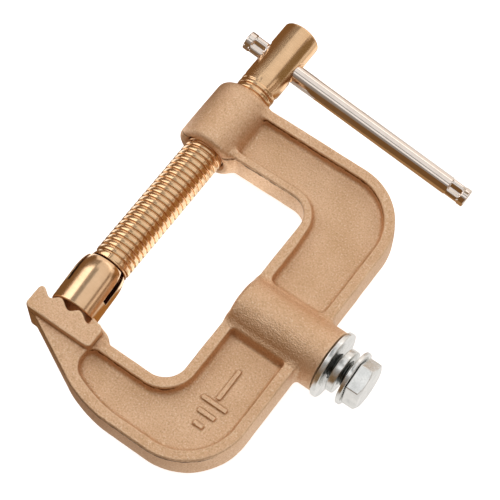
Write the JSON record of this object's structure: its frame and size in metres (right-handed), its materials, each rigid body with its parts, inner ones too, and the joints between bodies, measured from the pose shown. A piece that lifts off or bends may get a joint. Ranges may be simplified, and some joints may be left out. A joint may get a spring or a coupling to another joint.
{
  "type": "ground clamp",
  "caption": "C-shaped cast brass welding earth clamp with a clamping screw, swivel pad and sliding tommy bar, and a hex bolt with washers for the cable lug.",
  "frame": {"origin": "middle of the bottom face of the bounding box, with the clamp lying on its side", "axes": "+Y along the clamping screw from the anvil to the screw's head; +X square to it, from the screw towards the spine and the cable bolt; +Z through the frame's thickness, towards the side with the raised earth symbol"},
  "size_m": [0.1235, 0.1774, 0.0331],
  "materials": {
    "cast_brass": "sand cast, matte",
    "turned_brass": "turned",
    "polished_brass": "polished",
    "nickel_plate": "nickel plated, bright",
    "zinc_plate": "zinc plated, bright"
  },
  "bodies": {
    "frame": {"clamp_frame": "cast_brass"},
    "pad": {"swivel_pad": "polished_brass"},
    "screw": {"clamping_screw": "turned_brass"},
    "bar": {"tommy_bar": "nickel_plate"},
    "small_washer": {"small_flat_washer": "zinc_plate"},
    "bolt": {"cable_bolt": "zinc_plate"},
    "spring_washer": {"spring_washer": "zinc_plate"},
    "large_washer": {"large_flat_washer": "zinc_plate"}
  },
  "joints": [
    {"name": "screw_travel", "type": "slide", "parent": "frame", "child": "pad", "axis": [0, 1, 0], "range_m": [0, 0.055]},
    {"name": "screw_turn", "type": "hinge", "parent": "pad", "child": "screw", "pos_m": [-0.0452, 0.03535, 0.01935], "axis": [0, 1, 0], "range_deg": [0, 7920]},
    {"name": "bar_slide", "type": "slide", "parent": "screw", "child": "bar", "axis": [0.9857, 0, -0.1685], "range_m": [-0.0755, 0.0004]},
    {"name": "bolt_travel", "type": "slide", "parent": "frame", "child": "small_washer", "axis": [1, 0, 0], "range_m": [0, 0.021]},
    {"name": "bolt_turn", "type": "hinge", "parent": "small_washer", "child": "bolt", "pos_m": [0.0498, -0.02045, 0.01935], "axis": [1, 0, 0], "range_deg": [0, 5040]},
    {"name": "spring_washer_slide", "type": "slide", "parent": "small_washer", "child": "spring_washer", "axis": [1, 0, 0], "range_m": [-0.0002, 0.0006]},
    {"name": "large_washer_slide", "type": "slide", "parent": "small_washer", "child": "large_washer", "axis": [1, 0, 0], "range_m": [-0.0004, 0.0002]}
  ],
  "couplings": [
    {"joint": "screw_turn", "follows": "screw_travel", "rad_per_m": 2513.3},
    {"joint": "bolt_turn", "follows": "bolt_travel", "rad_per_m": 4188.8}
  ]
}
